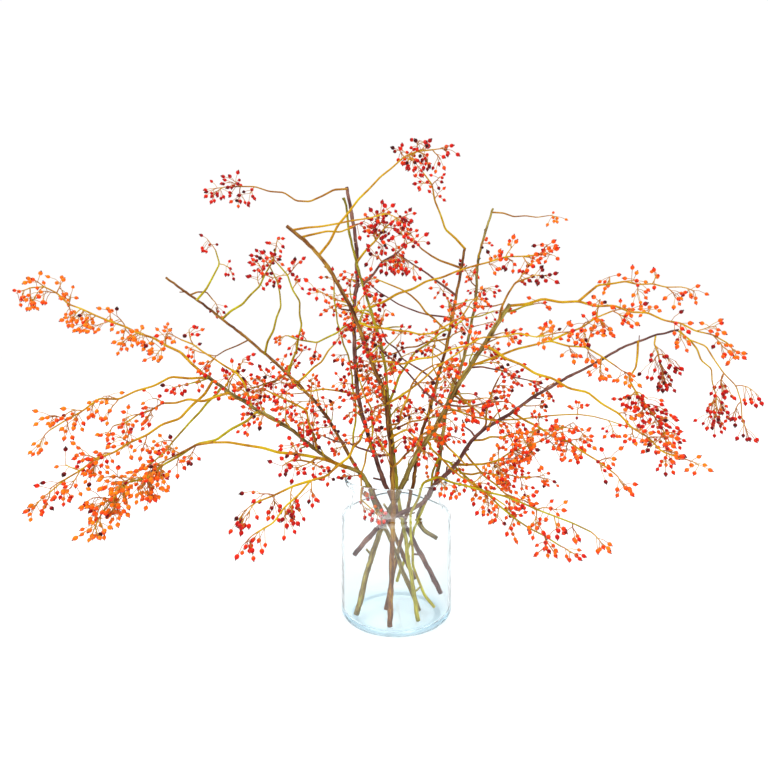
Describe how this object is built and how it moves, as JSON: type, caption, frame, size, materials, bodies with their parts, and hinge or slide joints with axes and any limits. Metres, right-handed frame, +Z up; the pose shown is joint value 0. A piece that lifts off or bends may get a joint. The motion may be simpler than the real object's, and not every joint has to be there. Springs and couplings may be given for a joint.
{
  "type": "rose hip branches in a glass jar",
  "caption": "Cut rose hip branches fanning out of a clear glass jar with a flared lip, with small orange and red hips on thin arching sprays.",
  "frame": {"origin": "centre of the jar's flat underside", "axes": "+Z up the jar's axis, +X to the right along the widest spread of the branches, -Y towards the front"},
  "size_m": [0.9554, 0.3364, 0.619],
  "materials": {
    "clear_glass": "clear, smooth and glossy",
    "brown_bark": "dry, slightly ribbed bark",
    "purple_bark": "smooth purple-brown bark",
    "olive_bark": "smooth olive bark",
    "green_bark": "smooth yellow-green bark",
    "orange_hips": "waxy orange skin",
    "red_hips": "waxy red skin",
    "dark_hips": "dull dark red skin"
  },
  "bodies": {
    "root": {"glass_jar": "clear_glass", "cane_centre": "purple_bark", "cane_upper_left": "brown_bark", "cane_green": "green_bark", "cane_high_left": "brown_bark", "cane_left": "olive_bark", "cane_thick": "olive_bark", "cane_slim_right": "brown_bark", "cane_top_right": "olive_bark", "cane_far_right": "purple_bark", "cane_low_right": "olive_bark", "cane_front_right": "green_bark", "branch_low_left": "olive_bark", "spray_far_left_upper": "orange_hips", "spray_far_left_middle": "orange_hips", "spray_far_left_lower": "orange_hips", "spray_left_back": "orange_hips", "spray_left_hanging": "orange_hips", "spray_left_inner": "orange_hips", "spray_low_left_tip": "orange_hips", "spray_high_left_tip": "red_hips", "spray_high_left_inner": "red_hips", "spray_upright_left": "red_hips", "spray_upright_middle": "red_hips", "spray_short_middle": "red_hips", "spray_left_red": "red_hips", "spray_thin_left": "red_hips", "spray_arching_left": "red_hips", "spray_low_left_red": "red_hips", "spray_front": "red_hips", "spray_top": "red_hips", "spray_top_right": "red_hips", "spray_top_left": "red_hips", "spray_upper_left_tip": "red_hips", "spray_red_back": "red_hips", "spray_red_front": "red_hips", "spray_slim_inner": "red_hips", "spray_dark_inner": "dark_hips", "spray_yellow": "red_hips", "spray_thick_tip": "dark_hips", "spray_right_upper": "orange_hips", "spray_right_hanging": "red_hips", "spray_far_right": "orange_hips", "spray_right_big": "red_hips", "spray_right_long": "red_hips", "spray_right_level": "red_hips", "spray_right_inner": "red_hips", "shoot_crossing": "red_hips", "shoot_short": "red_hips", "shoot_green": "red_hips", "spray_purple": "dark_hips", "spray_right_dense": "red_hips", "spray_right_dense_low": "red_hips", "spray_right_behind": "red_hips", "spray_right_fan": "red_hips", "spray_slim_side": "red_hips", "spray_top_right_tip": "orange_hips"}
  },
  "joints": []
}
